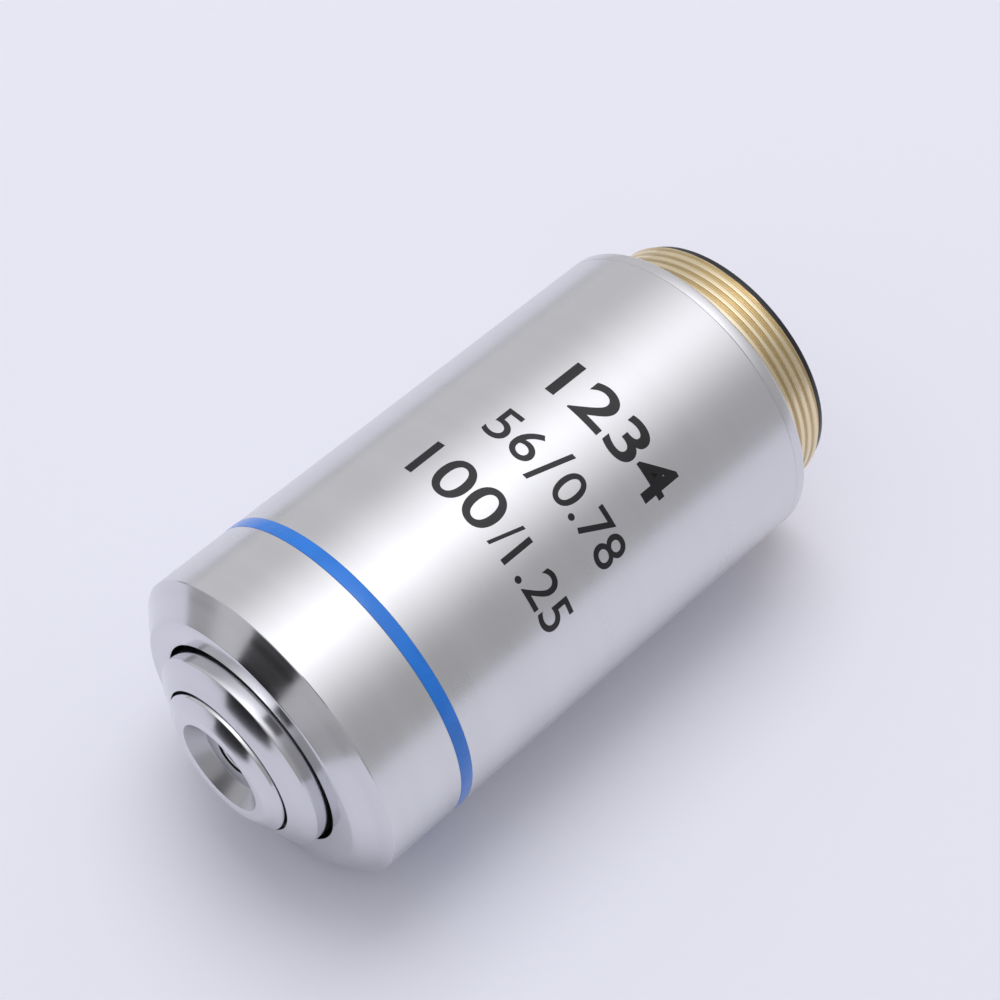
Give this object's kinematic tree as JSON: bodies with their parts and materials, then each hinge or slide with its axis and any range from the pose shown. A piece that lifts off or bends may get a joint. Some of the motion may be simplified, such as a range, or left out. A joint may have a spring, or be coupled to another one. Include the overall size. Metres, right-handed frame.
{
  "type": "microscope objective",
  "caption": "Plan achromatic microscope objective with a society thread, a satin chromed barrel, a blue ring and a spring-loaded nose that slides back into the barrel.",
  "frame": {"origin": "centre of the locating shoulder, where the thread meets the flange", "axes": "+Z along the optical axis towards the specimen; +X towards the hidden guide screw"},
  "size_m": [0.024, 0.024, 0.0489],
  "materials": {
    "satin_chrome": "satin",
    "polished_chrome": "polished",
    "thread_brass": "machined",
    "inner_brass": "machined",
    "blackened_brass": "matt black",
    "black_anodised": "black anodised",
    "blue_enamel": "glossy",
    "spring_steel": "bright",
    "optical_glass": "polished, coated"
  },
  "bodies": {
    "barrel": {"mount_body": "thread_brass", "end_ring": "black_anodised", "barrel_sleeve": "satin_chrome", "colour_ring": "blue_enamel", "front_cap": "satin_chrome", "spring_seat_ring": "inner_brass", "return_spring": "spring_steel", "parfocal_ring": "inner_brass", "parfocal_lock_ring": "inner_brass", "guide_screw": "spring_steel"},
    "lens_unit": {"lens_tube": "inner_brass", "nose_cap": "polished_chrome", "front_cell": "polished_chrome", "front_lens": "optical_glass", "meniscus_cell": "blackened_brass", "meniscus_lens": "optical_glass", "front_doublet_cell": "blackened_brass", "front_doublet_crown": "optical_glass", "front_doublet_flint": "optical_glass", "front_spacer": "blackened_brass", "middle_doublet_cell": "blackened_brass", "middle_doublet_flint": "optical_glass", "middle_doublet_crown": "optical_glass", "aperture_stop": "blackened_brass", "rear_spacer": "blackened_brass", "rear_doublet_cell": "blackened_brass", "rear_doublet_flint": "optical_glass", "rear_doublet_crown": "optical_glass", "retaining_ring": "blackened_brass"}
  },
  "joints": [
    {"name": "nose_retraction", "type": "slide", "parent": "barrel", "child": "lens_unit", "axis": [0, 0, -1], "range_m": [0, 0.0024], "stiffness_N_per_m": 500, "springref_m": -0.005, "deforming": ["return_spring"]}
  ]
}
